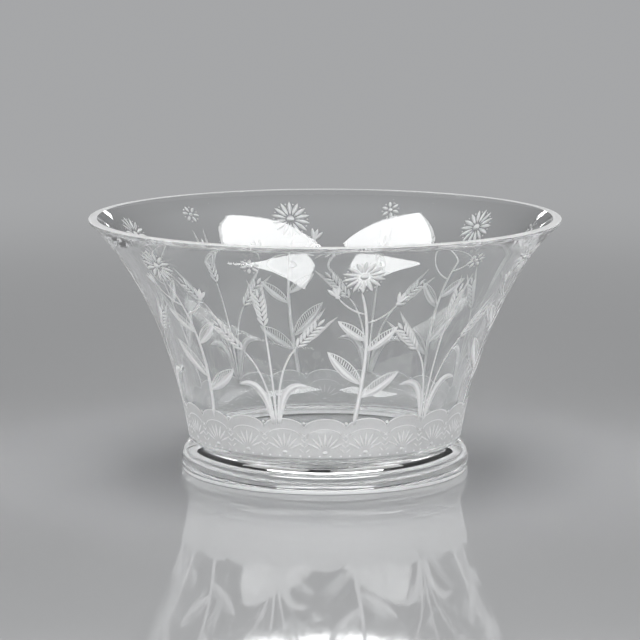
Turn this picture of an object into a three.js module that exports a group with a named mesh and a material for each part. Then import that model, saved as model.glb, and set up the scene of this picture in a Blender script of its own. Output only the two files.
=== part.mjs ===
// A clear glass bowl with a flat-ground rim. Two pieces of glass make it:
// the blown body, a flared wall with a flat floor, and the thick foot that
// was laid on hot under it. Millimetres, +Z up, origin on the ground at the
// middle of the foot.

import * as THREE from 'three';

// The whole bowl
const BOWL_HEIGHT = 113; // ground to rim
const RIM_DIAMETER = 210; // outside of the ground rim
const SECTORS = 72; // flat facets round the turn

// Outside of the wall: it leans out at the foot and flares towards the rim
const WALL_LEAN = 8.5; // degrees from upright, at the foot
const WALL_LEAN_REACH = 39.3; // how far that lean holds, as a curve handle
const RIM_FLARE = 47.5; // degrees from upright, under the rim
const RIM_FLARE_REACH = 27.6;
const HEEL_ROUND = 1.6; // under the wall, where it turns in to the foot

// Glass of the wall and the floor
const WALL_AT_FOOT = 4.6;
const WALL_AT_RIM = 3.5;
const FLOOR_THICKNESS = 3.9; // of the body alone, over the foot
const FLOOR_FILLET = 17; // inside, from the floor up to the wall

// Ground rim: a flat top. The flare turns upright on a polished round under it.
const RIM_ROUND = 2.4;
const RIM_EDGE_ROUND = 0.35; // between that round and the flat top

// Foot
const FOOT_DIAMETER = 129; // at the belly of its edge
const FOOT_LEDGE = 3.5; // how far that belly stands out past the wall
const FOOT_HEIGHT = 13.3; // ground to the joint with the body
const FOOT_BELLY_HEIGHT = 4.2; // where the edge is widest
const FOOT_EDGE_ROUND = 0.7; // where the edge meets the ground
const GROUND_RING_WIDTH = 9; // the part of the underside that stands
const RECESS_STEP = 1; // from the ring up to the recess inside it
const RECESS_DOME = 0.8; // further rise of the recess to its middle
const PONTIL_DIAMETER = 26; // polished dimple in the middle of the recess
const PONTIL_DEPTH = 1.1;

// Steps along the curves of the two profiles
const WALL_STEPS = 13;
const FILLET_STEPS = 6;
const EDGE_STEPS = 9;
const DOME_STEPS = 3;
const ROUND_STEPS = 3;

// Search along the wall, whose curve runs from 0 to 1
const HALVINGS = 40;
const PAST_THE_RIM = 2;

const lean = THREE.MathUtils.degToRad(WALL_LEAN);
const flare = THREE.MathUtils.degToRad(RIM_FLARE);
const rimRadius = RIM_DIAMETER / 2;
const footRadius = FOOT_DIAMETER / 2;
const wallBottomRadius = footRadius - FOOT_LEDGE;
const pontilRadius = PONTIL_DIAMETER / 2;
const floorHeight = FOOT_HEIGHT + FLOOR_THICKNESS;

// The joint is a flat disc. The wall's heel turns in to its edge from above,
// and the edge of the foot curves in to it from below.
const jointRadius = wallBottomRadius - HEEL_ROUND * Math.cos(lean);

const DOWN = -Math.PI / 2;
const OUT = 0;
const UP = Math.PI / 2;

// A place on a profile: its distance from the axis and its height
function point(radius, height) {
  return new THREE.Vector2(radius, height);
}

function along(start, angleFromUpright, distance) {
  const across = distance * Math.sin(angleFromUpright);
  const up = distance * Math.cos(angleFromUpright);
  return point(start.x + across, start.y + up);
}

function arc(centre, radius, fromAngle, toAngle, steps) {
  const points = [];
  for (let i = 0; i <= steps; i += 1) {
    const angle = THREE.MathUtils.lerp(fromAngle, toAngle, i / steps);
    const across = radius * Math.cos(angle);
    const up = radius * Math.sin(angle);
    points.push(point(centre.x + across, centre.y + up));
  }
  return points;
}

// A shallow dome over a disc, from its crown on the axis down to its edge
function dome(discRadius, rise, baseHeight) {
  const radius = (discRadius ** 2 + rise ** 2) / (2 * rise);
  const centre = point(0, baseHeight + rise - radius);
  const edgeAngle = Math.acos(discRadius / radius);
  return arc(centre, radius, UP, edgeAngle, DOME_STEPS);
}

// Where a function that rises along the wall reaches its target. The search
// runs from the foot of the wall to well past the rim.
function solve(rising, target) {
  let below = 0;
  let above = PAST_THE_RIM;
  for (let i = 0; i < HALVINGS; i += 1) {
    const middle = (below + above) / 2;
    if (rising(middle) < target) {
      below = middle;
    } else {
      above = middle;
    }
  }
  return below;
}

// Outside of the wall, from the heel to the round under the rim
const heelCentre = point(jointRadius, FOOT_HEIGHT + HEEL_ROUND);
const wallStart = point(
  heelCentre.x + HEEL_ROUND * Math.cos(lean),
  heelCentre.y - HEEL_ROUND * Math.sin(lean),
);
const rimRoundCentre = point(rimRadius - RIM_ROUND, BOWL_HEIGHT - RIM_EDGE_ROUND);
const wallEnd = point(
  rimRoundCentre.x + RIM_ROUND * Math.cos(flare),
  rimRoundCentre.y - RIM_ROUND * Math.sin(flare),
);
const wallCurve = new THREE.CubicBezierCurve(
  wallStart,
  along(wallStart, lean, WALL_LEAN_REACH),
  along(wallEnd, flare, -RIM_FLARE_REACH),
  wallEnd,
);

// A place on the inside of the wall, or further in by an extra depth. Past
// the end of the wall's curve the inside runs straight on.
function inside(t, extraDepth) {
  const onCurve = Math.min(t, 1);
  const beyond = (t - onCurve) * BOWL_HEIGHT;
  const outer = wallCurve.getPoint(onCurve);
  const tangent = wallCurve.getTangent(onCurve);
  const glass = THREE.MathUtils.lerp(WALL_AT_FOOT, WALL_AT_RIM, onCurve);
  const depth = glass + extraDepth;
  return point(
    outer.x - depth * tangent.y + beyond * tangent.x,
    outer.y + depth * tangent.x + beyond * tangent.y,
  );
}

function wallInside() {
  const filletHeight = floorHeight + FLOOR_FILLET;
  const top = solve((t) => inside(t, 0).y, BOWL_HEIGHT);
  const bottom = solve((t) => inside(t, FLOOR_FILLET).y, filletHeight);
  const centre = inside(bottom, FLOOR_FILLET);
  const meeting = inside(bottom, 0);
  const filletEnd = Math.atan2(meeting.y - centre.y, meeting.x - centre.x);

  const points = [];
  for (let i = 0; i < WALL_STEPS; i += 1) {
    const t = THREE.MathUtils.lerp(top, bottom, i / WALL_STEPS);
    points.push(inside(t, 0));
  }
  points.push(...arc(centre, FLOOR_FILLET, filletEnd, DOWN, FILLET_STEPS));
  return points;
}

function bodyProfile() {
  const edgeCentre = point(rimRadius - RIM_EDGE_ROUND, BOWL_HEIGHT - RIM_EDGE_ROUND);
  return [
    point(0, FOOT_HEIGHT),
    ...arc(heelCentre, HEEL_ROUND, DOWN, -lean, ROUND_STEPS),
    ...wallCurve.getPoints(WALL_STEPS).slice(1),
    ...arc(rimRoundCentre, RIM_ROUND, -flare, OUT, ROUND_STEPS).slice(1),
    ...arc(edgeCentre, RIM_EDGE_ROUND, OUT, UP, ROUND_STEPS).slice(1),
    ...wallInside(),
    point(0, floorHeight),
  ];
}

function underside(ringInside) {
  const recessRadius = ringInside - RECESS_STEP;
  const recess = dome(recessRadius, RECESS_DOME, RECESS_STEP);
  const pontil = dome(pontilRadius, PONTIL_DEPTH, RECESS_STEP + RECESS_DOME);
  return [
    ...pontil,
    ...recess.filter((place) => place.x > pontilRadius),
    point(ringInside, 0),
  ];
}

function footProfile() {
  const overhang = footRadius - jointRadius;
  const rise = FOOT_HEIGHT - FOOT_BELLY_HEIGHT;
  const edgeRadius = (overhang ** 2 + rise ** 2) / (2 * overhang);
  const edgeCentre = point(footRadius - edgeRadius, FOOT_BELLY_HEIGHT);
  const edgeTop = Math.atan2(rise, edgeRadius - overhang);

  // The small round at the ground touches the large round of the edge
  const drop = FOOT_BELLY_HEIGHT - FOOT_EDGE_ROUND;
  const edgeBottom = -Math.asin(drop / (edgeRadius - FOOT_EDGE_ROUND));
  const reach = (edgeRadius - FOOT_EDGE_ROUND) * Math.cos(edgeBottom);
  const groundCentre = point(edgeCentre.x + reach, FOOT_EDGE_ROUND);

  return [
    ...underside(groundCentre.x - GROUND_RING_WIDTH),
    ...arc(groundCentre, FOOT_EDGE_ROUND, DOWN, edgeBottom, ROUND_STEPS),
    ...arc(edgeCentre, edgeRadius, edgeBottom, edgeTop, EDGE_STEPS).slice(1, -1),
    point(jointRadius, FOOT_HEIGHT),
    point(0, FOOT_HEIGHT),
  ];
}

// A solid turned about the upright axis. Its profile starts and ends on the
// axis and has the glass on its left.
function turned(name, profile, material) {
  const geometry = new THREE.LatheGeometry(profile, SECTORS);
  geometry.rotateX(Math.PI / 2);
  const mesh = new THREE.Mesh(geometry, material);
  mesh.name = name;
  return mesh;
}

const bodyGlass = new THREE.MeshStandardMaterial({
  color: 0xe3e8e8,
  roughness: 0.04,
  metalness: 0,
  transparent: true,
  opacity: 0.35,
});

const footGlass = new THREE.MeshStandardMaterial({
  color: 0xdbe1e2,
  roughness: 0.05,
  metalness: 0,
  transparent: true,
  opacity: 0.45,
});

const bowl = new THREE.Group();
bowl.name = 'bowl';
bowl.add(turned('bowl_body', bodyProfile(), bodyGlass));
bowl.add(turned('foot', footProfile(), footGlass));

export default bowl;
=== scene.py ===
import bisect
import math

import bpy
from bpy.props import FloatProperty, FloatVectorProperty, IntProperty, PointerProperty
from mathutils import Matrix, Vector


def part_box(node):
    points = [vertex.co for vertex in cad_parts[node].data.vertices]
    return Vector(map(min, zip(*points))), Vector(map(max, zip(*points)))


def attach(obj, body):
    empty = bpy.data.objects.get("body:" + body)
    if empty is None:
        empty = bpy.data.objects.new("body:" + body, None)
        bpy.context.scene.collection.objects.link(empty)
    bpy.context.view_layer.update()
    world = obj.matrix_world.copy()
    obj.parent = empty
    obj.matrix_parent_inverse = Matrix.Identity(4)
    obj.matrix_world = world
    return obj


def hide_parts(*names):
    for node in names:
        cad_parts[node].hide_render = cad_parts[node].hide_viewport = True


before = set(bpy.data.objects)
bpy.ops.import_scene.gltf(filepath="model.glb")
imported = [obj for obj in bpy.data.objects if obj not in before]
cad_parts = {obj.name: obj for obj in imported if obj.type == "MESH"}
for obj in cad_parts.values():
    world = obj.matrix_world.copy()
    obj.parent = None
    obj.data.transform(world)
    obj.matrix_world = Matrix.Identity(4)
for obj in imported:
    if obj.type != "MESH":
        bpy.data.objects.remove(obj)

bl_info = {
    "name": "Engraved glass bowl",
    "version": (1, 0, 0),
    "blender": (4, 5, 0),
    "location": "3D View > Sidebar > Bowl",
    "description": "Builds a flared glass bowl on a thick foot, with a matt band and cut flowers",
    "category": "Add Mesh",
}

MM = 0.001
HAIR = 0.001 * MM  # places closer together than this are one place
FULL_TURN = 2 * math.pi
DOWN = -math.pi / 2
UP = math.pi / 2

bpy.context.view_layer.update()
BODY_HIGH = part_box("bowl_body")[1]
FOOT_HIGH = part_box("foot")[1]


def length(name, description, default_mm):
    return FloatProperty(name=name, description=description, default=default_mm * MM, unit="LENGTH")


def angle(name, description, degrees):
    return FloatProperty(name=name, description=description, default=math.radians(degrees), unit="ROTATION")


def colour(name, description, default):
    return FloatVectorProperty(name=name, description=description, default=default, subtype="COLOR", size=3)


class BowlShape(bpy.types.PropertyGroup):
    """Sizes of the two pieces of glass, as the real ones were turned and ground"""

    wall_lean: angle("Lean", "Lean of the wall from upright, at the foot", 8.5)
    wall_lean_reach: length("Lean reach", "How far that lean holds", 39.3)
    rim_flare: angle("Flare", "Flare of the wall from upright, under the rim", 47.5)
    rim_flare_reach: length("Flare reach", "How far that flare holds", 27.6)
    heel_round: length("Heel", "Round under the wall, where it turns in to the foot", 1.6)
    wall_at_foot: length("Wall at foot", "Glass of the wall near the foot", 4.6)
    wall_at_rim: length("Wall at rim", "Glass of the wall at the rim", 3.5)
    floor_thickness: length("Floor", "Glass of the floor over the foot", 3.9)
    floor_fillet: length("Fillet", "Inside, from the floor up to the wall", 17)
    rim_round: length("Rim round", "Polished round on which the flare turns upright", 2.4)
    rim_edge_round: length("Rim edge", "Round between that and the flat top of the rim", 0.35)
    rim_thinning: length("Rim thinning", "How much thinner the glass gets just under the rim", 0.5)
    rim_thinning_reach: length("Rim thinning reach", "How far down the wall that thinning starts", 11)
    foot_ledge: length("Ledge", "How far the edge of the foot stands out past the wall", 3.5)
    foot_belly_height: length("Belly", "Where the edge of the foot is widest", 4.2)
    foot_edge_round: length("Foot edge", "Round where the foot meets the ground", 0.7)
    ground_ring_width: length("Ring", "Part of the underside that stands", 9)
    recess_step: length("Recess", "Step from the ring up to the recess", 1)
    recess_dome: length("Dome", "Further rise of the recess to its middle", 0.8)
    pontil_diameter: length("Pontil", "Polished dimple in the middle of the recess", 26)
    pontil_depth: length("Pontil depth", "Depth of the dimple", 1.1)
    ground_edge: length("Ground edge", "How far up its edge the foot is ground matt", 1.6)
    sectors: IntProperty(name="Sectors", description="Facets round the turn", default=288)


class Engraving(bpy.types.PropertyGroup):
    """Sizes of the matt band and of the cut flowers over it"""

    proud: length("Edge", "How far a cut's rough face stands out of the polished wall", 0.03)
    cut_depth: length("Cut", "Depth of a cut in the wall", 0.12)
    band_bottom: length("Band bottom", "Lower edge of the band, up the wall from the heel", 0.9)
    band_top: length("Band top", "Top of the band between two scallops, up the wall from the heel", 15.0)
    scallop_rise: length("Scallop", "Rise of each scallop over that", 4.0)
    scallops: IntProperty(name="Scallops", description="Scallops round the band", default=22)
    flowers: IntProperty(name="Flowers", description="Tall flowers round the bowl", default=6)
    first_flower: angle("First flower", "Turn of the first flower from the front", 11)


class Finish(bpy.types.PropertyGroup):
    """Colours of the glass and of the studio"""

    glass: colour("Glass", "Clear polished glass", (0.985, 0.992, 0.992))
    matt: colour("Matt", "Matt ground glass of the band", (0.76, 0.765, 0.77))
    cut: colour("Cut", "Glass cut by the wheel", (0.96, 0.965, 0.97))
    floor: colour("Floor", "Pale studio floor", (0.52, 0.525, 0.533))
    backdrop: colour("Backdrop", "Pale studio backdrop", (0.38, 0.384, 0.392))


# Shader maths


class Val:
    """A shader value, so that Python's operators add Math nodes"""

    def __init__(self, wires, socket):
        self.wires = wires
        self.socket = socket

    def math(self, operation, *values):
        made = self.wires.node("ShaderNodeMath", {"operation": operation}, dict(enumerate(values)))
        return Val(self.wires, made.outputs[0])

    def __add__(self, other):
        return self.math("ADD", self, other)

    def __radd__(self, other):
        return self.math("ADD", other, self)

    def __sub__(self, other):
        return self.math("SUBTRACT", self, other)

    def __rsub__(self, other):
        return self.math("SUBTRACT", other, self)

    def __mul__(self, other):
        return self.math("MULTIPLY", self, other)

    def root(self):
        return self.math("SQRT", self)

    def at_least(self, other):
        return self.math("MAXIMUM", self, other)

    def ramp(self, low, high):
        """0 up to low and 1 from high on, smooth between"""
        settings = {"interpolation_type": "SMOOTHSTEP"}
        made = self.wires.node("ShaderNodeMapRange", settings, {0: self, 1: low, 2: high})
        return Val(self.wires, made.outputs[0])


class Wires:
    """The node tree of one material or of the world"""

    def __init__(self, owner):
        owner.use_nodes = True
        self.tree = owner.node_tree
        self.tree.nodes.clear()

    def node(self, kind, settings=None, inputs=None):
        """A new node. An input is a plain value, a Val or the output of another node."""
        made = self.tree.nodes.new(kind)
        for name, value in (settings or {}).items():
            setattr(made, name, value)
        for name, value in (inputs or {}).items():
            if isinstance(value, Val):
                value = value.socket
            if isinstance(value, bpy.types.NodeSocket):
                self.tree.links.new(value, made.inputs[name])
            else:
                made.inputs[name].default_value = value
        return made

    def place(self):
        return self.node("ShaderNodeTexCoord").outputs["Object"]

    def noise(self, scale, detail, distortion=0.0):
        inputs = {"Vector": self.place(), "Scale": scale, "Detail": detail, "Distortion": distortion}
        return Val(self, self.node("ShaderNodeTexNoise", None, inputs).outputs["Fac"])

    def bump(self, height, distance, strength):
        inputs = {"Height": height, "Distance": distance, "Strength": strength}
        return self.node("ShaderNodeBump", None, inputs).outputs["Normal"]

    def tint(self, factor, dark, light):
        """A colour that is dark at 0 and light at 1"""
        inputs = {0: factor, 6: (*dark, 1.0), 7: (*light, 1.0)}
        return self.node("ShaderNodeMix", {"data_type": "RGBA"}, inputs).outputs[2]

    def surface(self, shader):
        self.node("ShaderNodeOutputMaterial", None, {"Surface": shader.outputs[0]})


# Finishes of the glass. A scale is a number of noise cells to the metre.

GLASS_IOR = 1.52
WAVE_SCALE = 26.0
WAVE_HEIGHT = 0.4 * MM
SMEAR_SCALE = 60.0
SMEAR_FROM = 0.55
SMEAR_FULL = 0.8
SMEAR_ROUGHNESS = 0.02
GRAIN_SCALE = 2600.0
GRAIN_HEIGHT = 0.05 * MM
GRAIN_STRENGTH = 0.6
GRAIN_IN_COVER = 0.2  # how far the grain changes what a matt face hides
CLOUD_SCALE = 90.0
CLOUD_SHARE = 0.6  # of the change of tone over a matt face, of which the grain gives the rest
DARKEST_TONE = 0.88  # of a matt face, as a share of its lightest


def polished_glass(name, finish, waviness):
    """Fire-polished glass: clear, with the slow waves of handwork and faint smears"""
    material = bpy.data.materials.new(name)
    wires = Wires(material)
    waves = wires.noise(WAVE_SCALE, detail=1.0)
    smears = wires.noise(SMEAR_SCALE, detail=3.0, distortion=0.6).ramp(SMEAR_FROM, SMEAR_FULL)
    shader = wires.node("ShaderNodeBsdfPrincipled", None, {
        "Base Color": (*finish.glass, 1.0),
        "Roughness": smears * SMEAR_ROUGHNESS,
        "IOR": GLASS_IOR,
        "Transmission Weight": 1.0,
        "Normal": wires.bump(waves, WAVE_HEIGHT, waviness),
    })
    wires.surface(shader)
    return material


def ground_glass(name, tone, cover):
    """Glass with a ground or cut face: a fine pale grain that hides most of what is behind.
    The cover is the share that it hides."""
    material = bpy.data.materials.new(name)
    wires = Wires(material)
    grain = wires.noise(GRAIN_SCALE, detail=2.0)
    cloud = wires.noise(CLOUD_SCALE, detail=3.0)
    dark = [DARKEST_TONE * part for part in tone]
    shader = wires.node("ShaderNodeBsdfPrincipled", None, {
        "Base Color": wires.tint(cloud * CLOUD_SHARE + grain * (1 - CLOUD_SHARE), dark, tone),
        "Roughness": 0.5 + grain * 0.2,
        "IOR": GLASS_IOR,
        "Specular IOR Level": 0.4,
        "Alpha": cover + (grain - 0.5) * GRAIN_IN_COVER,
        "Normal": wires.bump(grain, GRAIN_HEIGHT, GRAIN_STRENGTH),
    })
    wires.surface(shader)
    return material


def fused_joint(name):
    """The flat where the two pieces are fused: no surface is left there to see"""
    material = bpy.data.materials.new(name)
    wires = Wires(material)
    wires.surface(wires.node("ShaderNodeBsdfTransparent"))
    return material


# Profiles, as (radius, height) in metres, and the steps along their curves

HEEL_STEPS = 8
WALL_STEPS = 64
RIM_ROUND_STEPS = 14
RIM_EDGE_STEPS = 5
FILLET_STEPS = 18
FLOOR_RINGS = (0.66, 0.33, 0.0)  # shares of the flat floor's radius
PONTIL_STEPS = 8
RECESS_STEPS = 12
RECESS_EDGE_STEPS = 6
FOOT_GROUND_STEPS = 5
FOOT_EDGE_STEPS = 32


def along(start, lean, distance):
    return start + Vector((math.sin(lean), math.cos(lean))) * distance


def arc(centre, radius, start, end, steps):
    points = []
    for i in range(steps + 1):
        turn = start + (end - start) * i / steps
        points.append(centre + Vector((math.cos(turn), math.sin(turn))) * radius)
    return points


def dome(disc_radius, rise, base_height, steps):
    """A shallow dome over a disc, from its crown on the axis down to its edge"""
    radius = (disc_radius ** 2 + rise ** 2) / (2 * rise)
    centre = Vector((0, base_height + rise - radius))
    return arc(centre, radius, UP, math.acos(disc_radius / radius), steps)


class Wall:
    """Outside and inside of the wall, as curves from the heel at 0 to the rim's round at 1"""

    marks = 600  # places at which the distance up the wall is noted
    halvings = 40  # of the search for a height
    past_the_rim = 2.0  # where that search ends

    def __init__(self, shape):
        self.shape = shape
        self.joint_height = FOOT_HIGH.z
        self.height = BODY_HIGH.z
        self.rim_radius = BODY_HIGH.x
        self.bottom_radius = FOOT_HIGH.x - shape.foot_ledge
        heel = shape.heel_round
        self.joint_radius = self.bottom_radius - heel * math.cos(shape.wall_lean)
        self.heel_centre = Vector((self.joint_radius, self.joint_height + heel))
        start = self.heel_centre + Vector((math.cos(shape.wall_lean), -math.sin(shape.wall_lean))) * heel
        self.rim_centre = Vector((self.rim_radius - shape.rim_round, self.height - shape.rim_edge_round))
        out = Vector((math.cos(shape.rim_flare), -math.sin(shape.rim_flare)))
        end = self.rim_centre + out * shape.rim_round
        self.ends = (
            start,
            along(start, shape.wall_lean, shape.wall_lean_reach),
            along(end, shape.rim_flare, -shape.rim_flare_reach),
            end,
        )
        self.measure()

    def outside(self, t):
        a, b, c, d = self.ends
        s = 1 - t
        return a * s ** 3 + b * (3 * s * s * t) + c * (3 * s * t * t) + d * t ** 3

    def tangent(self, t):
        a, b, c, d = self.ends
        s = 1 - t
        return ((b - a) * s * s + (c - b) * (2 * s * t) + (d - c) * t * t).normalized()

    def inside(self, t, extra=0.0):
        """A place on the inside of the wall, or further in. Past 1 it runs straight on."""
        on_curve = min(t, 1.0)
        tangent = self.tangent(on_curve)
        depth = self.glass(on_curve) + extra
        square = Vector((-tangent.y, tangent.x))
        return self.outside(on_curve) + square * depth + tangent * (t - on_curve) * self.height

    def glass(self, t):
        """Thickness of the wall, which thins a little more close under the rim. Near its end
        the curve runs three lengths of its handle while t rises by 1."""
        shape = self.shape
        before_rim = shape.wall_at_rim + shape.rim_thinning
        left = (1 - t) * 3 * shape.rim_flare_reach
        thinning = shape.rim_thinning * max(1 - left / shape.rim_thinning_reach, 0.0) ** 2
        return shape.wall_at_foot + (before_rim - shape.wall_at_foot) * t - thinning

    def solve(self, height, extra=0.0):
        """Where the inside, or a line further in, reaches a height"""
        below, above = 0.0, self.past_the_rim
        for _ in range(self.halvings):
            middle = (below + above) / 2
            if self.inside(middle, extra).y < height:
                below = middle
            else:
                above = middle
        return below

    def measure(self):
        """Distances up the wall from the heel, for work that is laid on it"""
        self.run = [0.0]
        last = self.outside(0.0)
        for i in range(1, self.marks + 1):
            here = self.outside(i / self.marks)
            self.run.append(self.run[-1] + (here - last).length)
            last = here

    def at(self, distance, out):
        """(radius, height) at a distance up the wall, and a little out of its face"""
        i = min(max(bisect.bisect_right(self.run, distance) - 1, 0), self.marks - 1)
        t = (i + (distance - self.run[i]) / (self.run[i + 1] - self.run[i])) / self.marks
        tangent = self.tangent(t)
        return self.outside(t) + Vector((tangent.y, -tangent.x)) * out


def body_profile(wall):
    shape = wall.shape
    floor_height = wall.joint_height + shape.floor_thickness
    top = wall.solve(wall.height)
    bottom = wall.solve(floor_height + shape.floor_fillet, shape.floor_fillet)
    fillet_centre = wall.inside(bottom, shape.floor_fillet)
    meeting = wall.inside(bottom) - fillet_centre
    fillet_start = math.atan2(meeting.y, meeting.x)
    edge_centre = Vector((wall.rim_radius - shape.rim_edge_round, wall.rim_centre.y))
    points = [Vector((0, wall.joint_height))]
    points += arc(wall.heel_centre, shape.heel_round, DOWN, -shape.wall_lean, HEEL_STEPS)
    points += [wall.outside(i / WALL_STEPS) for i in range(1, WALL_STEPS + 1)]
    points += arc(wall.rim_centre, shape.rim_round, -shape.rim_flare, 0, RIM_ROUND_STEPS)[1:]
    points += arc(edge_centre, shape.rim_edge_round, 0, UP, RIM_EDGE_STEPS)[1:]
    points += [wall.inside(top + (bottom - top) * i / WALL_STEPS) for i in range(WALL_STEPS)]
    points += arc(fillet_centre, shape.floor_fillet, fillet_start, DOWN, FILLET_STEPS)
    points += [Vector((fillet_centre.x * part, floor_height)) for part in FLOOR_RINGS]
    return points


def foot_profile(wall):
    shape = wall.shape
    radius = FOOT_HIGH.x
    overhang = radius - wall.joint_radius
    rise = wall.joint_height - shape.foot_belly_height
    edge_radius = (overhang ** 2 + rise ** 2) / (2 * overhang)
    edge_centre = Vector((radius - edge_radius, shape.foot_belly_height))
    small = shape.foot_edge_round
    edge_bottom = -math.asin((shape.foot_belly_height - small) / (edge_radius - small))
    ground_centre = Vector((edge_centre.x + (edge_radius - small) * math.cos(edge_bottom), small))
    edge_top = math.atan2(rise, edge_radius - overhang)
    ring_inside = ground_centre.x - shape.ground_ring_width
    step = shape.recess_step
    step_centre = Vector((ring_inside, step))
    pontil_radius = shape.pontil_diameter / 2
    recess = dome(ring_inside - step, shape.recess_dome, step, RECESS_STEPS)
    points = dome(pontil_radius, shape.pontil_depth, step + shape.recess_dome, PONTIL_STEPS)
    points += [place for place in recess if place.x > pontil_radius + step]
    points += arc(step_centre, step, math.pi, 1.5 * math.pi, RECESS_EDGE_STEPS)[1:]
    points += arc(ground_centre, small, DOWN, edge_bottom, FOOT_GROUND_STEPS)
    points += arc(edge_centre, edge_radius, edge_bottom, edge_top, FOOT_EDGE_STEPS)[1:]
    points.append(Vector((0, wall.joint_height)))
    return points


# Modelling


def start_clean():
    if bpy.context.object and bpy.context.object.mode != "OBJECT":
        bpy.ops.object.mode_set(mode="OBJECT")
    bpy.ops.object.select_all(action="DESELECT")


def select_only(*pieces):
    """Selects these pieces and no other, with the first as the active one"""
    start_clean()
    for piece in pieces:
        piece.select_set(True)
    bpy.context.view_layer.objects.active = pieces[0]


def turn_profile(name, points, sectors, closed=False, facing_in=False):
    """A point is drawn out along the profile, and the line is spun about the axis. A closed
    profile goes back to its start, and makes a ring."""
    start_clean()
    bpy.ops.mesh.primitive_plane_add(size=MM, location=(points[0].x, 0, points[0].y))
    piece = bpy.context.object
    piece.name = name
    bpy.ops.object.transform_apply(location=True, rotation=True, scale=True)
    bpy.ops.object.mode_set(mode="EDIT")
    bpy.ops.mesh.select_all(action="SELECT")
    bpy.ops.mesh.merge(type="CENTER")
    stops = points[1:] + points[:1] * closed
    here = points[0]
    for there in stops:
        step = (there.x - here.x, 0, there.y - here.y)
        bpy.ops.mesh.extrude_vertices_move(TRANSFORM_OT_translate={"value": step})
        here = there
    bpy.ops.mesh.select_all(action="SELECT")
    bpy.ops.mesh.spin(steps=sectors, angle=FULL_TURN, center=(0, 0, 0), axis=(0, 0, 1))
    bpy.ops.mesh.select_all(action="SELECT")
    bpy.ops.mesh.remove_doubles(threshold=HAIR)
    bpy.ops.mesh.normals_make_consistent(inside=facing_in)
    bpy.ops.object.mode_set(mode="OBJECT")
    return piece


def closed_outwards(piece, merge_within):
    """Joins the caps of each part to its sides and turns every face outwards"""
    select_only(piece)
    bpy.ops.object.mode_set(mode="EDIT")
    bpy.ops.mesh.select_all(action="SELECT")
    bpy.ops.mesh.remove_doubles(threshold=merge_within)
    bpy.ops.mesh.normals_make_consistent(inside=False)
    bpy.ops.object.mode_set(mode="OBJECT")


def copy_piece(piece, name):
    select_only(piece)
    bpy.ops.object.duplicate(linked=False)
    made = bpy.context.object
    made.name = name
    return made


def paint_faces(piece, material, wanted):
    """Gives one of the piece's materials to the faces that are wanted"""
    number = piece.data.materials.find(material.name)
    for face in piece.data.polygons:
        if wanted(face):
            face.material_index = number


def smooth(piece, degrees):
    select_only(piece)
    bpy.ops.object.shade_smooth_by_angle(angle=math.radians(degrees))


def round_the_axis(place, around):
    """A place on a profile, turned about the axis from the front of the bowl"""
    return (place.x * math.sin(around), -place.x * math.cos(around), place.y)


def hand_over(piece):
    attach(piece, "root")


# Drawing of the cuts, flat and in millimetres

SPOT_STEPS = 8
SHARPEST = 0.03  # width at the two ends of a spot
NARROWEST_FIELD = 0.05
STEM_END = 0.3  # share of its width that a stem keeps at its two ends
FLAT_HAIR = 0.0001  # places of the drawing closer together than this are one place
MATT = 1  # material of the matt fields, after that of the bright cuts
LOW_SHARE = 0.4  # a bright cut's edge and a matt field's middle stand this share of proud out


def ahead(place, turn, distance):
    """The place that lies in a direction from another, at a distance"""
    return (place[0] + math.cos(turn) * distance, place[1] + math.sin(turn) * distance)


def evenly(steps):
    """Shares from 0 to 1 in even steps"""
    return [i / steps for i in range(steps + 1)]


def curve(start, bend, end, t):
    s = 1 - t
    return tuple(a * s * s + 2 * b * s * t + c * t * t for a, b, c in zip(start, bend, end))


def heading(start, bend, end, t):
    """The direction in which that curve runs"""
    s = 1 - t
    dx, dy = ((b - a) * s + (c - b) * t for a, b, c in zip(start, bend, end))
    return math.atan2(dy, dx)


class Drawing:
    """Cuts drawn flat in millimetres, X across and Y up, each a line that swells and tapers.
    The bright ones are cut deep, and the matt ones are shallow fields between them."""

    def __init__(self):
        self.bright = []
        self.matt = []

    def line(self, points, widths, matt=False):
        lines = self.matt if matt else self.bright
        lines.append([(x, y, width / 2) for (x, y), width in zip(points, widths)])

    def lens(self, place, turn, size, width):
        """A straight cut from a place, in a direction, pointed at both ends"""
        steps = (0.0, 0.22, 0.5, 0.78, 1.0)
        swell = (0.06, 0.72, 1.0, 0.72, 0.06)
        self.line([ahead(place, turn, size * s) for s in steps], [width * s for s in swell])

    def disc(self, place, size):
        """A round spot"""
        x, y = place
        turns = [math.pi * t for t in evenly(SPOT_STEPS)]
        points = [(x - math.cos(turn) * size / 2, y) for turn in turns]
        self.line(points, [max(size * math.sin(turn), SHARPEST) for turn in turns])

    def stem(self, start, bend, end, width, tip, steps):
        """A curved cut through three handles, wide at its start, with a share of that at its tip"""
        stops = evenly(steps)
        widths = [width * (1 - (1 - tip) * t) for t in stops]
        widths[0] *= STEM_END
        widths[-1] *= STEM_END
        self.line([curve(start, bend, end, t) for t in stops], widths)

    def field(self, near, far):
        """A matt field between two lines that have as many points"""
        points = [((a[0] + b[0]) / 2, (a[1] + b[1]) / 2) for a, b in zip(near, far)]
        widths = [max(math.dist(a, b), NARROWEST_FIELD) for a, b in zip(near, far)]
        self.line(points, widths, matt=True)


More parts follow.
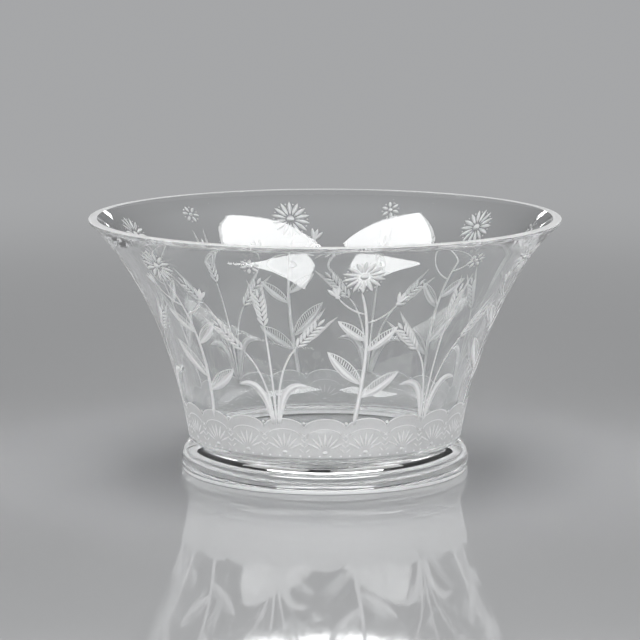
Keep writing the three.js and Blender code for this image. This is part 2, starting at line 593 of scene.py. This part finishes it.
def cut_lines(drawing, name):
    """The flat drawing as one mesh of thin lens-shaped strips, a millimetre to the unit"""
    start_clean()
    bpy.ops.curve.primitive_bezier_curve_add()
    piece = bpy.context.object
    piece.name = name
    strokes = piece.data
    strokes.splines.clear()
    strokes.bevel_depth = 1.0
    strokes.bevel_resolution = 0
    strokes.use_fill_caps = True
    for material_index, lines in enumerate((drawing.bright, drawing.matt)):
        for line in lines:
            spline = strokes.splines.new("POLY")
            spline.material_index = material_index
            spline.points.add(len(line) - 1)
            for point, (x, y, half_width) in zip(spline.points, line):
                point.co = (x, y, 0, 1)
                point.radius = half_width
    bpy.ops.object.convert(target="MESH")
    closed_outwards(piece, FLAT_HAIR)
    return piece


def lay_on_wall(piece, wall, turn, engraving):
    """Moves each point of a flat drawing on to the wall: the middle of a cut's back goes in
    to its depth, the middle of its face stands just proud, and its edges lie close to the
    glass. A matt field lies a little deeper than the bright cuts that cross it."""
    matt = {i for face in piece.data.polygons if face.material_index == MATT for i in face.vertices}
    low = engraving.proud * LOW_SHARE
    for vertex in piece.data.vertices:
        x, y, z = vertex.co
        edge, middle = (0.0, low) if vertex.index in matt else (low, low + engraving.proud)
        if z > FLAT_HAIR:
            out = middle
        elif z < -FLAT_HAIR:
            out = edge - min(engraving.cut_depth, -z * MM)
        else:
            out = edge
        place = wall.at(y * MM, out)
        vertex.co = round_the_axis(place, turn + x * MM / place.x)
    piece.data.update()


# The generic pattern: flowers, ears of grain and a scalloped band, in millimetres and radians

OUTLINE_WIDTH = 0.6  # of the line round a leaf or a scallop
LEAF_BULGE = 0.27  # how far a leaf's edges are bent out, as a share of its length
LEAF_WIDEST = 0.45  # where they are bent out, as a share of its length
RIB_WIDTH = 0.7
HATCH_WIDTH = 0.5
HATCH_SPACING = 1.25
BLADE_OUTLINE_WIDTH = 0.45
FIRST_PETAL = 0.26  # turn of a blossom's first petal from level
EYE_SIZE = 1.5  # of a blossom, as a share of the radius where its petals start
DOT_RADIUS = 0.86  # where the dots between the petals are, as a share of the blossom's radius
DOT_SIZE = 0.7
BUD_SPREAD = 0.42  # turn from one petal of a bud to the next
GRAIN_PAIRS = 6
GRAIN_SPACING = 2.5
GRAIN_LENGTH = 5.0
GRAIN_WIDTH = 1.5
GRAIN_SPREAD = 0.52  # turn of a grain from its ear
BEARD_LENGTH = 8.0
BEARD_WIDTH = 0.4
BEARD_START = 0.36  # turn from the ear to the place where a beard starts
BEARD_SPREAD = 0.20  # turn of a beard from its ear
FAN_STEP = 21  # degrees from one cut of a scallop's fan to the next
SCALLOP_BEADS = 4
SCALLOP_NOTCHES = 4


def leaf(drawing, base, turn, size, side):
    """A pointed leaf: two curved edges and a rib, with hatching on one half and the other matt"""
    tip = ahead(base, turn, size)
    middle = ahead(base, turn, size * LEAF_WIDEST)
    hatched, plain = (ahead(middle, turn + UP, size * LEAF_BULGE * way) for way in (side, -side))
    for bend in (hatched, plain):
        drawing.stem(base, bend, tip, OUTLINE_WIDTH, tip=0.8, steps=9)
    drawing.stem(base, middle, tip, RIB_WIDTH, tip=0.3, steps=5)
    rib = [curve(base, middle, tip, t) for t in evenly(10)]
    edge = [curve(base, plain, tip, t) for t in evenly(10)]
    drawing.field(rib, edge)
    hatches = int(size / HATCH_SPACING)
    for i in range(1, hatches):
        t = i / hatches
        start = ahead(base, turn, size * t)
        end = curve(base, hatched, tip, min(t + 0.10, 0.97))
        slant = math.atan2(end[1] - start[1], end[0] - start[0])
        drawing.lens(start, slant, size=math.dist(start, end), width=HATCH_WIDTH)


def blade(drawing, start, bend, end, width):
    """A long curved blade of grass, matt between its two edges"""
    edges = []
    for way in (0.5, -0.5):
        points = []
        for t in evenly(12):
            across = heading(start, bend, end, t) + UP
            out = way * width * math.sin(math.pi * t) ** 0.7
            points.append(ahead(curve(start, bend, end, t), across, out))
        drawing.line(points, [BLADE_OUTLINE_WIDTH] * len(points))
        edges.append(points)
    drawing.field(*edges)


def blossom(drawing, centre, petals, inner, outer, width):
    """A flower seen from the front: a ring of petals round an eye, with dots between their tips"""
    for i in range(petals):
        turn = FULL_TURN * i / petals + FIRST_PETAL
        drawing.lens(ahead(centre, turn, inner), turn, size=outer - inner, width=width)
    drawing.disc(centre, inner * EYE_SIZE)
    for i in range(petals):
        turn = FULL_TURN * (i + 0.5) / petals + FIRST_PETAL
        drawing.disc(ahead(centre, turn, outer * DOT_RADIUS), DOT_SIZE)


def bud(drawing, place, turn, size):
    """A closed bud of three petals on a small cup"""
    for spread in (-BUD_SPREAD, 0.0, BUD_SPREAD):
        drawing.lens(place, turn + spread, size=size, width=size * 0.3)
    drawing.disc(place, size=size * 0.34)


def ear(drawing, base, turn):
    """An ear of grain: pairs of grains with long beards, and one more grain at its tip"""
    for i in range(GRAIN_PAIRS):
        place = ahead(base, turn, i * GRAIN_SPACING)
        for way in (1, -1):
            drawing.lens(place, turn + way * GRAIN_SPREAD, GRAIN_LENGTH, GRAIN_WIDTH)
            beard = ahead(place, turn + way * BEARD_START, GRAIN_LENGTH)
            drawing.lens(beard, turn + way * BEARD_SPREAD, BEARD_LENGTH, BEARD_WIDTH)
    drawing.lens(ahead(base, turn, GRAIN_PAIRS * GRAIN_SPACING), turn, GRAIN_LENGTH, GRAIN_WIDTH)


def flower_spray(foot):
    """One tall flower on a bowed stem, with leaves and two buds"""
    drawing = Drawing()
    start, bend, end = (0.0, foot), (7.0, foot + 42.0), (-1.5, foot + 66.0)
    drawing.stem(start, bend, end, width=2.2, tip=0.45, steps=24)
    blossom(drawing, (end[0], end[1] + 9.5), petals=14, inner=2.4, outer=9.5, width=2.1)
    for t, side, size in ((0.16, 1, 21.0), (0.24, -1, 23.0), (0.47, 1, 18.0), (0.55, -1, 17.0)):
        lean = heading(start, bend, end, t) - side * 0.85
        leaf(drawing, curve(start, bend, end, t), lean, size, side)
    for t, side, degrees in ((0.70, 1, 66), (0.78, -1, 114)):
        x, y = curve(start, bend, end, t)
        tip = (x + side * 13.0, y + 9.5)
        drawing.stem((x, y), (x + side * 7.5, y + 1.5), tip, width=1.0, tip=0.6, steps=7)
        bud(drawing, tip, math.radians(degrees), size=6.5)
    return drawing


def grain_spray(foot):
    """Three ears of grain on bowed stalks between two blades, and a floret over them"""
    drawing = Drawing()
    for side, rise, spread in ((0, 48.0, 1.0), (1, 38.0, 13.0), (-1, 35.0, 12.0)):
        start, bend, end = (side * 0.9, foot), (side * 2.0, foot + rise * 0.7), (side * spread, foot + rise)
        drawing.stem(start, bend, end, width=1.2, tip=0.6, steps=14)
        ear(drawing, end, heading(start, bend, end, 1.0))
    for side in (1, -1):
        start, bend, end = (side * 1.5, foot), (side * 4.0, foot + 23.0), (side * 16.0, foot + 18.0)
        blade(drawing, start, bend, end, width=3.0)
    blossom(drawing, (0.0, foot + 81.0), petals=6, inner=1.3, outer=4.6, width=1.7)
    return drawing


def scallop(t):
    """0 at the two ends of a scallop and 1 at its middle, round like an arch"""
    return math.sqrt(max(1 - (2 * t - 1) ** 2, 0.0)) ** 1.2


def band_cuts(engraving, spacing):
    """One scallop of the band: a fan of cuts under two bright edges, beads and slanted notches"""
    drawing = Drawing()
    bottom = engraving.band_bottom / MM
    top = engraving.band_top / MM
    rise = engraving.scallop_rise / MM
    edge = [(spacing * (t - 0.5), top + rise * scallop(t)) for t in evenly(12)]
    inner = [(x * 0.8, bottom + (y - bottom) * 0.74) for x, y in edge]
    for line in (edge, inner):
        drawing.line(line, [OUTLINE_WIDTH] * len(line))
    fan_centre = (0.0, bottom + 3.0)
    for i in range(-3, 4):
        turn = math.radians(90 - i * FAN_STEP)
        drawing.lens(ahead(fan_centre, turn, 2.4), turn, size=6.4, width=1.2)
    drawing.disc((0.0, bottom + 2.6), size=2.2)
    drawing.disc((spacing / 2, top + 1.9), size=1.5)
    for i in range(SCALLOP_BEADS):
        drawing.disc((spacing * ((i + 0.5) / SCALLOP_BEADS - 0.5), bottom + 0.9), size=0.9)
    for way in (1, -1):
        for i in range(SCALLOP_NOTCHES):
            place = (way * spacing * (0.5 - 0.02 * i), bottom + 2.6 + 2.3 * i)
            drawing.lens(place, UP - way * 0.9, size=2.7, width=0.7)
    return drawing


# Studio, in metres, degrees and watts

BOWL_MIDDLE = Vector((0, 0, 0.06))

SWEEP_RADIUS = 5.0  # of the flat floor
SWEEP_CURL = 1.2  # of the bend up to the backdrop
SWEEP_HEIGHT = 2.6
SWEEP_GAP = 0.05 * MM  # between the foot and the floor
SWEEP_RINGS = 8
SWEEP_CURL_STEPS = 16
SWEEP_SECTORS = 96
EVEN_TONE = (0.3, 1.2)  # radii between which the glossy floor turns to an even tone
DARK_TOP = (0.45, 0.8)  # heights between which the backdrop gets dark
DARKENING = 0.92

LAMP_DISTANCE = 1.9
SIDE_LAMPS = (40, -40, 140, -140)
SIDE_LAMP_RISE = 9
SIDE_LAMP_SIZE = (1.0, 0.5)
SIDE_LAMP_POWER = 15.5
TOP_LAMP_SIZE = (0.9, 0.9)
TOP_LAMP_POWER = 10.0

CARD_DISTANCE = 1.5
# Name, turn from the front, rise, size, and whether polished glass mirrors the card
CARDS = (
    ("card_right", 49.5, 57, (1.29, 0.47), True),
    ("card_left", -58, 55.6, (1.15, 0.5), True),
    ("card_back_right", 130.5, 57, (1.29, 0.47), False),
    ("card_back_left", -122, 55.6, (1.15, 0.5), False),
    ("card_low", 180, 20, (0.7, 0.07), True),
)

# Brightness, where 1 is white. Matt parts behind glass get their light from these alone.
CARD_STRENGTH = 8.0
BACKDROP_BEHIND_GLASS = 5.0
SKY = 0.45
SKY_SEEN = 0.03
SKY_BEHIND_GLASS = 0.2  # overhead, and up to 1 more low down

BOUNCES = 24

# The photograph's view
CAMERA_PLACE = (-0.0022, -1.3965, 0.2894)
CAMERA_DIP = 9.08
CAMERA_SENSOR_MM = 36
CAMERA_LENS_MM = 177.86


def studio_place(around, up, distance):
    """A place by its turn from the front and its height as seen from the bowl, in degrees"""
    turn, rise = math.radians(around), math.radians(up)
    out = distance * math.cos(rise)
    return Vector((out * math.sin(turn), -out * math.cos(turn), distance * math.sin(rise)))


def facing_bowl(place):
    """The turn that points a lamp or a card at the bowl"""
    return (BOWL_MIDDLE - place).to_track_quat("-Z", "Y").to_euler()


def ray_kinds(wires):
    """Two values: 1 for rays that show a surface, directly, in a mirror or through glass,
    and 1 for rays that light a matt surface through glass, where no lamp can reach"""
    rays = wires.node("ShaderNodeLightPath")
    kinds = ("Is Camera Ray", "Is Glossy Ray", "Is Transmission Ray", "Diffuse Depth")
    camera, glossy, through, depth = (Val(wires, rays.outputs[kind]) for kind in kinds)
    scattered = depth.ramp(0.0, 1.0)
    return camera.at_least(glossy).at_least(through) * (1.0 - scattered), through * scattered


# Operators


class BOWL_OT_body(bpy.types.Operator):
    """The blown body: flared wall, flat floor and flat-ground rim"""

    bl_idname = "bowl.body"
    bl_label = "Blown body"

    def execute(self, context):
        scene = context.scene
        wall = Wall(scene.bowl_shape)
        piece = turn_profile("blown_body", body_profile(wall), scene.bowl_shape.sectors)
        polished = polished_glass("polished_body", scene.bowl_finish, waviness=0.25)
        rim = ground_glass("ground_rim", scene.bowl_finish.cut, cover=0.85)
        joint = fused_joint("fused_to_foot")
        for material in (polished, rim, joint):
            piece.data.materials.append(material)
        edge = wall.rim_centre.y + HAIR
        inner = wall.rim_radius - scene.bowl_shape.wall_at_rim
        paint_faces(piece, rim, lambda face: face.center.z > edge and face.center.xy.length > inner)
        paint_faces(piece, joint, lambda face: face.center.z < wall.joint_height + HAIR)
        smooth(piece, degrees=28)
        hand_over(piece)
        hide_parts("bowl_body")
        return {"FINISHED"}


class BOWL_OT_foot(bpy.types.Operator):
    """The thick foot that was laid on hot"""

    bl_idname = "bowl.foot"
    bl_label = "Foot"

    def execute(self, context):
        scene = context.scene
        wall = Wall(scene.bowl_shape)
        piece = turn_profile("laid_on_foot", foot_profile(wall), scene.bowl_shape.sectors)
        polished = polished_glass("polished_foot", scene.bowl_finish, waviness=0.06)
        joint = fused_joint("fused_to_body")
        ground = ground_glass("ground_foot", scene.bowl_finish.cut, cover=0.9)
        for material in (polished, joint, ground):
            piece.data.materials.append(material)
        ring = FOOT_HIGH.x - scene.bowl_shape.ground_ring_width
        edge = scene.bowl_shape.ground_edge
        paint_faces(piece, joint, lambda face: face.center.z > wall.joint_height - HAIR)
        paint_faces(piece, ground, lambda face: face.center.z < edge and face.center.xy.length > ring)
        smooth(piece, degrees=28)
        hand_over(piece)
        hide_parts("foot")
        return {"FINISHED"}


class BOWL_OT_band(bpy.types.Operator):
    """The matt band round the bottom of the wall, with its scalloped top and its cuts"""

    bl_idname = "bowl.band"
    bl_label = "Matt band"

    rows = 10
    facets_per_scallop = 24

    def execute(self, context):
        scene = context.scene
        engraving = scene.bowl_engraving
        wall = Wall(scene.bowl_shape)
        self.matt_ring(scene, engraving, wall)
        self.bright_cuts(scene, engraving, wall)
        return {"FINISHED"}

    def matt_ring(self, scene, engraving, wall):
        """A thick ring is turned, and its rows of points are then laid on the two faces of the
        thin band, spread up to the scallops"""
        half = Vector((MM, 0))
        face = [wall.at(engraving.band_top * i / self.rows, 0.0) + half for i in range(self.rows + 1)]
        back = [place - half * 2 for place in reversed(face)]
        sectors = engraving.scallops * self.facets_per_scallop
        ring = turn_profile("matt_band", face + back, sectors, closed=True)
        for vertex in ring.data.vertices:
            x, y, z = vertex.co
            around = math.atan2(x, -y)
            row = min(range(self.rows + 1), key=lambda i: abs(face[i].y - z))
            front = math.hypot(x, y) > face[row].x - MM
            part = (around / FULL_TURN * engraving.scallops + 0.5) % 1.0
            top = engraving.band_top + engraving.scallop_rise * scallop(part)
            up = engraving.band_bottom + (top - engraving.band_bottom) * row / self.rows
            out = engraving.proud * 0.6 if front else -engraving.cut_depth * 0.7
            vertex.co = round_the_axis(wall.at(up, out), around)
        ring.data.materials.append(ground_glass("matt_ground", scene.bowl_finish.matt, cover=0.68))
        closed_outwards(ring, HAIR)
        smooth(ring, degrees=40)
        hand_over(ring)

    def bright_cuts(self, scene, engraving, wall):
        """The cuts of one scallop are laid on the wall once for each scallop and joined"""
        radius = wall.at(engraving.band_top, 0.0).x
        spacing = FULL_TURN * radius / engraving.scallops / MM
        flat = cut_lines(band_cuts(engraving, spacing), "band_cut")
        flat.data.materials.append(ground_glass("bright_cut_band", scene.bowl_finish.cut, cover=0.9))
        cuts = [flat] + [copy_piece(flat, "band_cut") for _ in range(engraving.scallops - 1)]
        for i, cut in enumerate(cuts):
            lay_on_wall(cut, wall, FULL_TURN * i / engraving.scallops, engraving)
        select_only(*cuts)
        bpy.ops.object.join()
        flat.name = "band_cuts"
        hand_over(flat)


class BOWL_OT_flowers(bpy.types.Operator):
    """The tall flowers and the ears of grain between them, cut round the wall"""

    bl_idname = "bowl.flowers"
    bl_label = "Cut flowers"

    over_the_band = 1.0  # in millimetres

    def execute(self, context):
        scene = context.scene
        engraving = scene.bowl_engraving
        wall = Wall(scene.bowl_shape)
        foot = engraving.band_top / MM + self.over_the_band
        bright = ground_glass("bright_cut", scene.bowl_finish.cut, cover=0.92)
        matt = ground_glass("matt_field", scene.bowl_finish.matt, cover=0.6)
        step = FULL_TURN / engraving.flowers
        for name, drawing, offset in (
            ("cut_flower", flower_spray(foot), 0.0),
            ("cut_grain", grain_spray(foot), 0.5),
        ):
            flat = cut_lines(drawing, name)
            flat.data.materials.append(bright)
            flat.data.materials.append(matt)
            for i in range(engraving.flowers):
                piece = copy_piece(flat, f"{name}_{i + 1}")
                lay_on_wall(piece, wall, engraving.first_flower + (i + offset) * step, engraving)
                hand_over(piece)
            bpy.data.objects.remove(flat)
        return {"FINISHED"}


class BOWL_OT_stage(bpy.types.Operator):
    """The pale round sweep, the sky, the bright cards, the soft lamps and the camera"""

    bl_idname = "bowl.stage"
    bl_label = "Stage"

    def execute(self, context):
        scene = context.scene
        self.sweep(scene.bowl_finish)
        self.world(scene)
        for card in CARDS:
            self.bright_card(*card)
        for around in SIDE_LAMPS:
            self.soft_lamp(f"lamp_{around % 360}", around, SIDE_LAMP_RISE, SIDE_LAMP_SIZE, SIDE_LAMP_POWER)
        self.soft_lamp("lamp_top", 0, 90, TOP_LAMP_SIZE, TOP_LAMP_POWER)
        self.camera(scene)
        scene.view_settings.view_transform = "Standard"
        scene.cycles.max_bounces = BOUNCES
        scene.cycles.glossy_bounces = BOUNCES
        scene.cycles.transmission_bounces = BOUNCES
        scene.cycles.transparent_max_bounces = BOUNCES
        return {"FINISHED"}

    def sweep(self, finish):
        """A flat round floor that bends up to a backdrop all round"""
        points = [Vector((SWEEP_RADIUS * i / SWEEP_RINGS, -SWEEP_GAP)) for i in range(SWEEP_RINGS)]
        curl_centre = Vector((SWEEP_RADIUS, SWEEP_CURL - SWEEP_GAP))
        points += arc(curl_centre, SWEEP_CURL, DOWN, 0, SWEEP_CURL_STEPS)
        points.append(Vector((SWEEP_RADIUS + SWEEP_CURL, SWEEP_HEIGHT)))
        floor = turn_profile("studio_sweep", points, SWEEP_SECTORS, facing_in=True)
        smooth(floor, degrees=60)
        floor.data.materials.append(self.sweep_paint(finish))

    def sweep_paint(self, finish):
        """Pale and a little glossy near the bowl, and an even pale tone further off. Above
        the height that any view takes in, it is dark, so that the glass has dark edges."""
        material = bpy.data.materials.new("pale_sweep")
        wires = Wires(material)
        place = wires.node("ShaderNodeSeparateXYZ", None, {0: wires.place()})
        x, y, z = (Val(wires, socket) for socket in place.outputs)
        away = (x * x + y * y).root()
        lit = wires.node("ShaderNodeBsdfPrincipled", None, {
            "Base Color": (*finish.floor, 1.0),
            "Roughness": 0.04,
            "Specular IOR Level": 0.4,
        })
        seen, through = ray_kinds(wires)
        plain = wires.node("ShaderNodeEmission", None, {
            "Color": (*finish.backdrop, 1.0),
            "Strength": seen * (1.0 - z.ramp(*DARK_TOP) * DARKENING) + through * BACKDROP_BEHIND_GLASS,
        })
        mixed = wires.node("ShaderNodeMixShader", None, {
            0: (seen + through) * away.ramp(*EVEN_TONE),
            1: lit.outputs[0],
            2: plain.outputs[0],
        })
        wires.surface(mixed)
        return material

    def world(self, scene):
        """An even sky. It is dim where it is seen or mirrored, and for light that comes through
        glass, where it stands in for the lamps, it is brighter low down than overhead."""
        world = bpy.data.worlds.new("studio")
        scene.world = world
        wires = Wires(world)
        seen, through = ray_kinds(wires)
        generated = wires.node("ShaderNodeTexCoord").outputs["Generated"]
        aim = wires.node("ShaderNodeSeparateXYZ", None, {0: generated})
        low = 1.0 - Val(wires, aim.outputs[2])
        behind_glass = low - (SKY - SKY_BEHIND_GLASS)
        sky = wires.node("ShaderNodeBackground", None, {
            "Color": (1.0, 1.0, 1.0, 1.0),
            "Strength": SKY - seen * (SKY - SKY_SEEN) + through * behind_glass,
        })
        wires.node("ShaderNodeOutputWorld", None, {"Surface": sky.outputs[0]})

    def soft_lamp(self, name, around, up, size, power):
        """A soft lamp that lights the bowl from one side, and that glass doesn't mirror"""
        place = studio_place(around, up, LAMP_DISTANCE)
        bpy.ops.object.light_add(type="AREA", location=place)
        lamp = bpy.context.object
        lamp.name = name
        lamp.data.shape = "RECTANGLE"
        lamp.data.size, lamp.data.size_y = size
        lamp.data.energy = power
        lamp.rotation_euler = facing_bowl(place)
        lamp.visible_camera = False
        lamp.visible_glossy = False
        lamp.visible_transmission = False

    def bright_card(self, name, around, up, size, mirrored):
        """A bright card, which polished glass mirrors or not. It lights only what is behind glass."""
        place = studio_place(around, up, CARD_DISTANCE)
        start_clean()
        bpy.ops.mesh.primitive_plane_add(size=1, location=place, rotation=facing_bowl(place))
        card = bpy.context.object
        card.name = name
        card.scale = (*size, 1)
        bpy.ops.object.transform_apply(location=True, rotation=True, scale=True)
        material = bpy.data.materials.new(name)
        wires = Wires(material)
        seen, through = ray_kinds(wires)
        strength = (seen * mirrored + through) * CARD_STRENGTH
        wires.surface(wires.node("ShaderNodeEmission", None, {"Color": (1, 1, 1, 1), "Strength": strength}))
        card.data.materials.append(material)
        card.visible_diffuse = False
        card.visible_shadow = False

    def camera(self, scene):
        """At the photograph's distance, height and angle"""
        bpy.ops.object.camera_add(location=CAMERA_PLACE)
        camera = bpy.context.object
        camera.name = "photo_view"
        camera.rotation_euler = (math.radians(90 - CAMERA_DIP), 0, 0)
        camera.data.sensor_width = CAMERA_SENSOR_MM
        camera.data.lens = CAMERA_LENS_MM
        scene.camera = camera


class BOWL_PT_panel(bpy.types.Panel):
    """Lists the steps and the sizes"""

    bl_idname = "BOWL_PT_panel"
    bl_label = "Glass bowl"
    bl_space_type = "VIEW_3D"
    bl_region_type = "UI"
    bl_category = "Bowl"

    def draw(self, context):
        column = self.layout.column()
        for operator in OPERATORS:
            column.operator(operator.bl_idname)
        for group in (context.scene.bowl_shape, context.scene.bowl_engraving, context.scene.bowl_finish):
            for name in group.bl_rna.properties.keys():
                if name not in ("rna_type", "name"):
                    column.prop(group, name)


GROUPS = {"bowl_shape": BowlShape, "bowl_engraving": Engraving, "bowl_finish": Finish}
OPERATORS = (BOWL_OT_body, BOWL_OT_foot, BOWL_OT_band, BOWL_OT_flowers, BOWL_OT_stage)


def register():
    for name, group in GROUPS.items():
        bpy.utils.register_class(group)
        setattr(bpy.types.Scene, name, PointerProperty(type=group))
    for operator in OPERATORS:
        bpy.utils.register_class(operator)
    bpy.utils.register_class(BOWL_PT_panel)


def unregister():
    bpy.utils.unregister_class(BOWL_PT_panel)
    for operator in reversed(OPERATORS):
        bpy.utils.unregister_class(operator)
    for name, group in GROUPS.items():
        delattr(bpy.types.Scene, name)
        bpy.utils.unregister_class(group)


def main():
    register()
    bpy.ops.bowl.body()
    bpy.ops.bowl.foot()
    bpy.ops.bowl.band()
    bpy.ops.bowl.flowers()
    bpy.ops.bowl.stage()
    start_clean()


if __name__ == "__main__":
    main()
